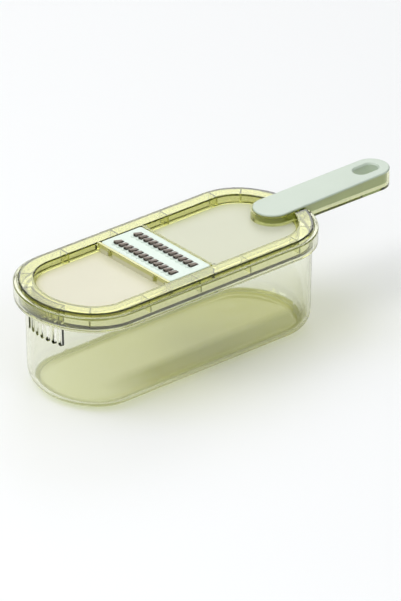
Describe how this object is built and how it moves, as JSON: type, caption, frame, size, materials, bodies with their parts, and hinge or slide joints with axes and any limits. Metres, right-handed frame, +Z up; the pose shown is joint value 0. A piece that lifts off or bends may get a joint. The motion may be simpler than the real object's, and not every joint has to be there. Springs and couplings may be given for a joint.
{
  "type": "mandoline slicer",
  "caption": "Hand-held mandoline slicer: oval frame with handle and lift-out toothed blade insert, sitting on a clear drain box with a slotted end.",
  "frame": {"origin": "centre of the drain box's flat base", "axes": "+X along the handle, +Z up out of the box, +Y across"},
  "size_m": [0.3566, 0.1176, 0.0928],
  "materials": {
    "clear": "clear moulded plastic",
    "green_clear": "tinted clear moulded plastic",
    "frosted": "frosted",
    "mint": "satin",
    "steel": "stamped and brushed"
  },
  "bodies": {
    "box": {"container": "clear"},
    "frame": {"frame_ring": "green_clear", "deck_plate_left": "frosted", "deck_plate_right": "frosted", "handle_shell": "green_clear", "handle_cap": "mint"},
    "insert": {"insert_plate": "mint", "tooth_strip_left": "steel", "tooth_strip_right": "steel"}
  },
  "joints": [
    {"name": "frame_lift", "type": "slide", "parent": "box", "child": "frame", "axis": [0, 0, 1], "range_m": [0, 0.06]},
    {"name": "insert_lift", "type": "slide", "parent": "frame", "child": "insert", "axis": [0, 0, 1], "range_m": [0, 0.03]}
  ]
}
